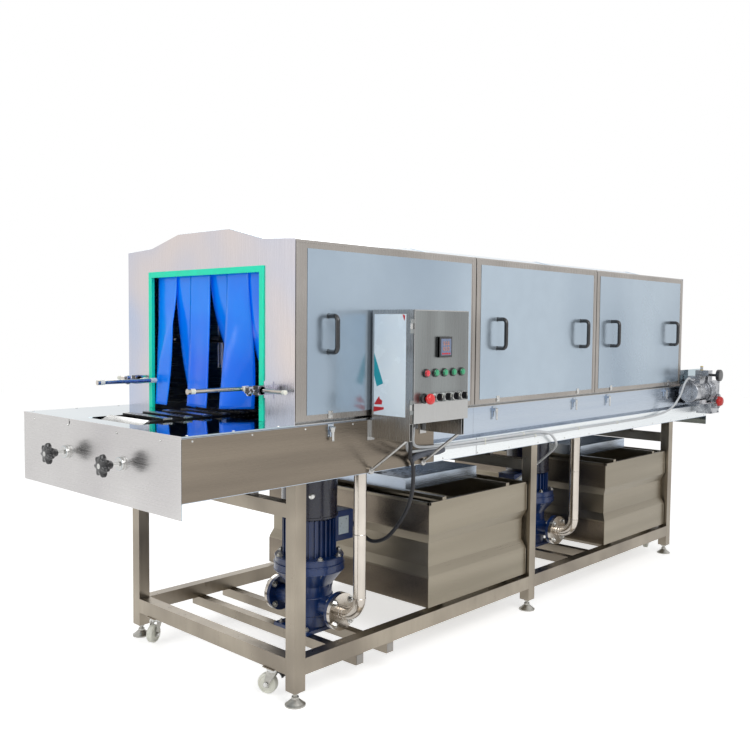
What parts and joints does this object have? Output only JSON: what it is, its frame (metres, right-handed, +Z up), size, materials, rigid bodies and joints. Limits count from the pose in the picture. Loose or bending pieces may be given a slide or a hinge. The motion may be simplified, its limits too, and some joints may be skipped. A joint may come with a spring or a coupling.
{
  "type": "tunnel bin washing machine",
  "caption": "Tunnel washer for waste bins: slat conveyor through a spray tunnel with strip curtains and side doors, inline pumps beside water tanks, a drive and a control box.",
  "frame": {"origin": "on the floor, below the centre of the machine's bounding box", "axes": "+X along the conveyor from infeed to outfeed, -Y towards the operator's side, +Z up"},
  "size_m": [4.098, 1.3293, 1.704],
  "materials": {
    "tube_steel": "satin stainless tube",
    "sheet_steel": "brushed stainless sheet",
    "table_steel": "polished stainless sheet",
    "tank_steel": "satin stainless sheet",
    "zinc_steel": "zinc-plated steel",
    "pipe_steel": "bright stainless tube",
    "latch_steel": "polished",
    "chain_steel": "oiled steel",
    "plate_steel": "satin",
    "trim_rubber": "smooth green rubber",
    "curtain_vinyl": "glossy flexible strips",
    "gear_paint": "silver paint",
    "pump_paint": "blue enamel on cast iron",
    "cover_paint": "dark blue enamel",
    "rotor_steel": "machined",
    "heater_steel": "heat-tinted",
    "box_steel": "brushed stainless sheet",
    "panel_steel": "darker brushed stainless",
    "switchgear_plastic": "moulded housings on a plate",
    "instrument_plastic": "black housings",
    "stop_plastic": "red",
    "selector_plastic": "black",
    "cable_rubber": "black sheath",
    "knob_plastic": "black",
    "door_steel": "stainless sheet under pale blue film",
    "castor_nylon": "white nylon"
  },
  "bodies": {
    "machine": {"legs": "tube_steel", "frame_rails": "tube_steel", "cross_beams": "tube_steel", "box_bracket": "tube_steel", "side_skirts": "sheet_steel", "door_frame": "sheet_steel", "end_faces": "sheet_steel", "drain_trough": "sheet_steel", "tunnel_cover": "sheet_steel", "table_plates": "table_steel", "water_tanks": "tank_steel", "levelling_feet": "zinc_steel", "pipework": "pipe_steel", "conveyor_chain": "chain_steel", "conveyor_frame": "plate_steel", "opening_trims": "trim_rubber", "strip_curtains": "curtain_vinyl", "gearmotor": "gear_paint", "pump_heads": "pump_paint", "pump_motors": "pump_paint", "pump_fan_covers": "cover_paint", "immersion_heaters": "heater_steel", "control_box": "box_steel", "switchgear": "switchgear_plastic", "cables": "cable_rubber"},
    "door_1": {"door_1": "door_steel"},
    "door_2": {"door_2": "door_steel"},
    "door_3": {"door_3": "door_steel"},
    "control_door": {"control_door": "panel_steel", "panel_instruments": "instrument_plastic"},
    "emergency_stop": {"emergency_stop": "stop_plastic"},
    "drive_shaft": {"drive_shaft": "pipe_steel"},
    "idler_shaft": {"idler_shaft": "pipe_steel"},
    "speed_handwheel": {"speed_handwheel": "knob_plastic"},
    "pump_rotor_1": {"pump_rotor_1": "rotor_steel"},
    "pump_rotor_2": {"pump_rotor_2": "rotor_steel"},
    "guide_rail_1": {"guide_rail_1": "pipe_steel"},
    "guide_rail_2": {"guide_rail_2": "pipe_steel"},
    "filter_tray_1": {"filter_tray_1": "tank_steel"},
    "filter_tray_2": {"filter_tray_2": "tank_steel"},
    "star_knob_1": {"star_knob_1": "knob_plastic"},
    "star_knob_2": {"star_knob_2": "knob_plastic"},
    "latch_1": {"latch_1": "latch_steel"},
    "latch_2": {"latch_2": "latch_steel"},
    "latch_3": {"latch_3": "latch_steel"},
    "latch_4": {"latch_4": "latch_steel"},
    "latch_5": {"latch_5": "latch_steel"},
    "latch_6": {"latch_6": "latch_steel"},
    "selector_1": {"selector_1": "selector_plastic"},
    "castor_fork_1": {"castor_fork_1": "zinc_steel"},
    "castor_wheel_1": {"castor_wheel_1": "castor_nylon"},
    "selector_2": {"selector_2": "selector_plastic"},
    "castor_fork_2": {"castor_fork_2": "zinc_steel"},
    "castor_wheel_2": {"castor_wheel_2": "castor_nylon"},
    "selector_3": {"selector_3": "selector_plastic"},
    "castor_fork_3": {"castor_fork_3": "zinc_steel"},
    "castor_wheel_3": {"castor_wheel_3": "castor_nylon"},
    "selector_4": {"selector_4": "selector_plastic"},
    "castor_fork_4": {"castor_fork_4": "zinc_steel"},
    "castor_wheel_4": {"castor_wheel_4": "castor_nylon"}
  },
  "joints": [
    {"name": "door_1_lift", "type": "slide", "parent": "machine", "child": "door_1", "axis": [0, 0, 1], "range_m": [0, 0.03]},
    {"name": "door_2_hinge", "type": "hinge", "parent": "machine", "child": "door_2", "pos_m": [0.049, -0.39225, 1.6365], "axis": [-1, 0, 0], "range_deg": [0, 90]},
    {"name": "door_3_hinge", "type": "hinge", "parent": "machine", "child": "door_3", "pos_m": [1.08233, -0.39225, 1.6365], "axis": [-1, 0, 0], "range_deg": [0, 90]},
    {"name": "latch_1_hinge", "type": "hinge", "parent": "machine", "child": "latch_1", "pos_m": [-1.32933, -0.41475, 0.985], "axis": [-1, 0, 0], "range_deg": [0, 140]},
    {"name": "latch_2_hinge", "type": "hinge", "parent": "machine", "child": "latch_2", "pos_m": [-0.63933, -0.39675, 0.985], "axis": [-1, 0, 0], "range_deg": [0, 140]},
    {"name": "latch_3_hinge", "type": "hinge", "parent": "machine", "child": "latch_3", "pos_m": [-0.296, -0.39675, 0.985], "axis": [-1, 0, 0], "range_deg": [0, 140]},
    {"name": "latch_4_hinge", "type": "hinge", "parent": "machine", "child": "latch_4", "pos_m": [0.394, -0.39675, 0.985], "axis": [-1, 0, 0], "range_deg": [0, 140]},
    {"name": "latch_5_hinge", "type": "hinge", "parent": "machine", "child": "latch_5", "pos_m": [0.73733, -0.39675, 0.985], "axis": [-1, 0, 0], "range_deg": [0, 140]},
    {"name": "latch_6_hinge", "type": "hinge", "parent": "machine", "child": "latch_6", "pos_m": [1.42733, -0.39675, 0.985], "axis": [-1, 0, 0], "range_deg": [0, 140]},
    {"name": "control_door_hinge", "type": "hinge", "parent": "machine", "child": "control_door", "pos_m": [-1.134, -0.61775, 1.206], "axis": [0, 0, -1], "range_deg": [0, 120]},
    {"name": "emergency_stop_press", "type": "slide", "parent": "control_door", "child": "emergency_stop", "axis": [0, 1, 0], "range_m": [0, 0.006], "stiffness_N_per_m": 400},
    {"name": "selector_1_turn", "type": "hinge", "parent": "control_door", "child": "selector_1", "pos_m": [-0.993, -0.63375, 1.092], "axis": [0, 1, 0], "range_deg": [-45, 45]},
    {"name": "selector_2_turn", "type": "hinge", "parent": "control_door", "child": "selector_2", "pos_m": [-0.943, -0.63375, 1.092], "axis": [0, 1, 0], "range_deg": [-45, 45]},
    {"name": "selector_3_turn", "type": "hinge", "parent": "control_door", "child": "selector_3", "pos_m": [-0.893, -0.63375, 1.092], "axis": [0, 1, 0], "range_deg": [-45, 45]},
    {"name": "selector_4_turn", "type": "hinge", "parent": "control_door", "child": "selector_4", "pos_m": [-0.844, -0.63375, 1.092], "axis": [0, 1, 0], "range_deg": [-45, 45]},
    {"name": "star_knob_1_turn", "type": "hinge", "parent": "machine", "child": "star_knob_1", "pos_m": [-2.049, -0.06375, 0.886], "axis": [1, 0, 0], "continuous": true},
    {"name": "star_knob_2_turn", "type": "hinge", "parent": "machine", "child": "star_knob_2", "pos_m": [-2.049, 0.31425, 0.886], "axis": [1, 0, 0], "continuous": true},
    {"name": "drive_shaft_turn", "type": "hinge", "parent": "machine", "child": "drive_shaft", "pos_m": [1.859, 0.12525, 0.908], "axis": [0, 1, 0], "continuous": true},
    {"name": "idler_shaft_turn", "type": "hinge", "parent": "machine", "child": "idler_shaft", "pos_m": [-1.791, 0.12525, 0.908], "axis": [0, 1, 0], "continuous": true},
    {"name": "speed_handwheel_turn", "type": "hinge", "parent": "machine", "child": "speed_handwheel", "pos_m": [1.767, -0.57275, 1.072], "axis": [0, 1, 0], "continuous": true},
    {"name": "pump_rotor_1_turn", "type": "hinge", "parent": "machine", "child": "pump_rotor_1", "pos_m": [-1.078, -0.02375, 0.41], "axis": [0, 0, 1], "continuous": true},
    {"name": "pump_rotor_2_turn", "type": "hinge", "parent": "machine", "child": "pump_rotor_2", "pos_m": [0.537, -0.02375, 0.47], "axis": [0, 0, 1], "continuous": true},
    {"name": "guide_rail_1_slide", "type": "slide", "parent": "machine", "child": "guide_rail_1", "axis": [0, 1, 0], "range_m": [-0.05, 0.12]},
    {"name": "guide_rail_2_slide", "type": "slide", "parent": "machine", "child": "guide_rail_2", "axis": [0, -1, 0], "range_m": [-0.05, 0.12]},
    {"name": "filter_tray_1_slide", "type": "slide", "parent": "machine", "child": "filter_tray_1", "axis": [0, -1, 0], "range_m": [0, 0.2]},
    {"name": "filter_tray_2_slide", "type": "slide", "parent": "machine", "child": "filter_tray_2", "axis": [0, -1, 0], "range_m": [0, 0.2]},
    {"name": "castor_fork_1_swivel", "type": "hinge", "parent": "machine", "child": "castor_fork_1", "pos_m": [-1.466, -0.25975, 0.1], "axis": [0, 0, 1], "continuous": true},
    {"name": "castor_wheel_1_roll", "type": "hinge", "parent": "castor_fork_1", "child": "castor_wheel_1", "pos_m": [-1.47614, -0.238, 0.0445], "axis": [-0.9063, -0.4226, 0], "continuous": true},
    {"name": "castor_fork_2_swivel", "type": "hinge", "parent": "machine", "child": "castor_fork_2", "pos_m": [-1.466, 0.51025, 0.1], "axis": [0, 0, 1], "continuous": true},
    {"name": "castor_wheel_2_roll", "type": "hinge", "parent": "castor_fork_2", "child": "castor_wheel_2", "pos_m": [-1.48775, 0.50011, 0.0445], "axis": [0.4226, -0.9063, 0], "continuous": true},
    {"name": "castor_fork_3_swivel", "type": "hinge", "parent": "machine", "child": "castor_fork_3", "pos_m": [1.494, -0.25975, 0.1], "axis": [0, 0, 1], "continuous": true},
    {"name": "castor_wheel_3_roll", "type": "hinge", "parent": "castor_fork_3", "child": "castor_wheel_3", "pos_m": [1.51655, -0.25154, 0.0445], "axis": [-0.342, 0.9397, 0], "continuous": true},
    {"name": "castor_fork_4_swivel", "type": "hinge", "parent": "machine", "child": "castor_fork_4", "pos_m": [1.494, 0.51025, 0.1], "axis": [0, 0, 1], "continuous": true},
    {"name": "castor_wheel_4_roll", "type": "hinge", "parent": "castor_fork_4", "child": "castor_wheel_4", "pos_m": [1.47322, 0.52225, 0.0445], "axis": [-0.5, -0.866, 0], "continuous": true}
  ],
  "couplings": [
    {"joint": "idler_shaft_turn", "follows": "drive_shaft_turn", "ratio": 1}
  ]
}
